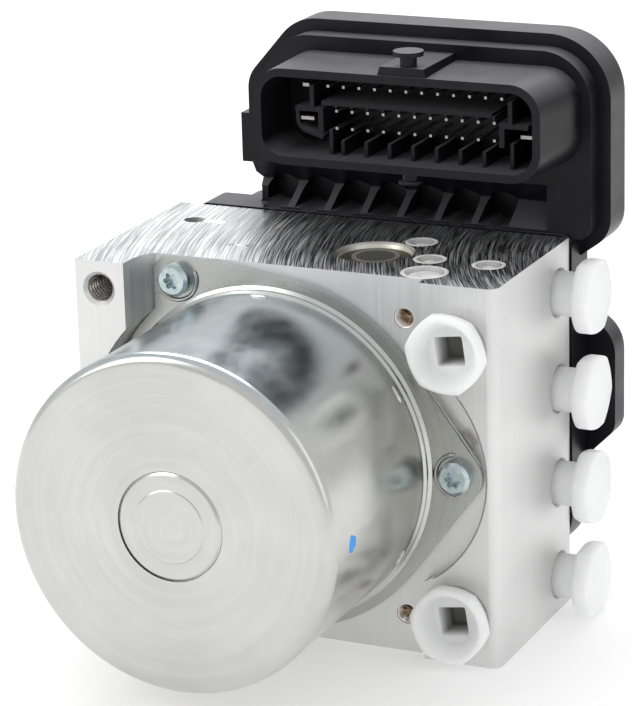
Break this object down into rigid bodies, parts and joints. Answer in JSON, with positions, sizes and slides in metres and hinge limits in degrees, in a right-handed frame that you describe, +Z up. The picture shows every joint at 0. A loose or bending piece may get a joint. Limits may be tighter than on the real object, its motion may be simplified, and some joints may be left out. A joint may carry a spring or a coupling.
{
  "type": "abs brake module",
  "caption": "Ported aluminium brake pressure block with a round pump motor on its front, a black controller housing with a wide plug socket behind it, and white plugs in its ports.",
  "frame": {"origin": "centre of the block's bottom face", "axes": "+X to the right towards the wheel ports, +Y to the rear towards the controller, +Z up towards the plug socket"},
  "size_m": [0.1122, 0.126, 0.1394],
  "materials": {
    "bare_aluminium": "milled, fine streaks",
    "zinc_plated_steel": "zinc plated, drawn",
    "bright_steel": "ground",
    "spring_steel": "satin",
    "black_plastic": "fine grained, satin",
    "white_plastic": "smooth",
    "terminal_metal": "tin plated",
    "copper_winding": "enamelled copper",
    "carbon": "pressed graphite",
    "ferrite": "sintered",
    "seal_rubber": "moulded",
    "board": "lacquered",
    "sintered_bronze": "porous"
  },
  "bodies": {
    "modulator": {"accumulator_caps": "bare_aluminium", "accumulator_spring_left": "spring_steel", "accumulator_spring_right": "spring_steel", "bearing_balls": "bright_steel", "bearing_outer_ring": "bright_steel", "brush_holder": "black_plastic", "brush_springs": "spring_steel", "carbon_brushes": "carbon", "caulked_plugs": "bare_aluminium", "circuit_board": "board", "damper_cap": "bare_aluminium", "ecu_cover": "black_plastic", "ecu_gasket": "seal_rubber", "ecu_housing": "black_plastic", "ecu_screws": "zinc_plated_steel", "front_bush": "sintered_bronze", "front_port_plug_lower": "white_plastic", "front_port_plug_upper": "white_plastic", "hydraulic_block": "bare_aluminium", "inlet_valves": "bright_steel", "isolation_valves": "bright_steel", "large_port_plug": "bare_aluminium", "motor_can": "zinc_plated_steel", "motor_flange": "zinc_plated_steel", "motor_magnets": "ferrite", "motor_nose_cap": "zinc_plated_steel", "motor_screws": "zinc_plated_steel", "motor_terminals": "terminal_metal", "outlet_valves": "bright_steel", "power_blades": "terminal_metal", "pressure_sensor": "bright_steel", "pump_plug": "bare_aluminium", "pump_spring_lower": "spring_steel", "pump_spring_upper": "spring_steel", "sealing_balls": "bright_steel", "side_port_plug_1": "white_plastic", "side_port_plug_2": "white_plastic", "side_port_plug_3": "white_plastic", "side_port_plug_4": "white_plastic", "signal_pins": "terminal_metal", "supply_valves": "bright_steel", "valve_coils": "copper_winding"},
    "rotor": {"rotor_shaft": "bright_steel", "armature_core": "bright_steel", "armature_windings": "copper_winding", "commutator": "copper_winding", "bearing_inner_ring": "bright_steel", "eccentric_ring": "bright_steel"},
    "upper_piston": {"pump_piston_upper": "bright_steel"},
    "lower_piston": {"pump_piston_lower": "bright_steel"},
    "left_accumulator": {"accumulator_piston_left": "bare_aluminium"},
    "right_accumulator": {"accumulator_piston_right": "bare_aluminium"}
  },
  "joints": [
    {"name": "rotor_spin", "type": "hinge", "parent": "modulator", "child": "rotor", "pos_m": [-0.0061, -0.04, 0.046], "axis": [0, 1, 0], "continuous": true},
    {"name": "upper_piston_stroke", "type": "slide", "parent": "modulator", "child": "upper_piston", "axis": [0, 0, 1], "range_m": [0, 0.0018], "stiffness_N_per_m": 3000, "springref_m": -0.003, "deforming": ["pump_spring_upper"]},
    {"name": "lower_piston_stroke", "type": "slide", "parent": "modulator", "child": "lower_piston", "axis": [0, 0, -1], "range_m": [0, 0.0018], "stiffness_N_per_m": 3000, "springref_m": -0.003, "deforming": ["pump_spring_lower"]},
    {"name": "left_accumulator_stroke", "type": "slide", "parent": "modulator", "child": "left_accumulator", "axis": [0, 0, -1], "range_m": [0, 0.006], "stiffness_N_per_m": 2500, "springref_m": -0.004, "deforming": ["accumulator_spring_left"]},
    {"name": "right_accumulator_stroke", "type": "slide", "parent": "modulator", "child": "right_accumulator", "axis": [0, 0, -1], "range_m": [0, 0.006], "stiffness_N_per_m": 2500, "springref_m": -0.004, "deforming": ["accumulator_spring_right"]}
  ]
}
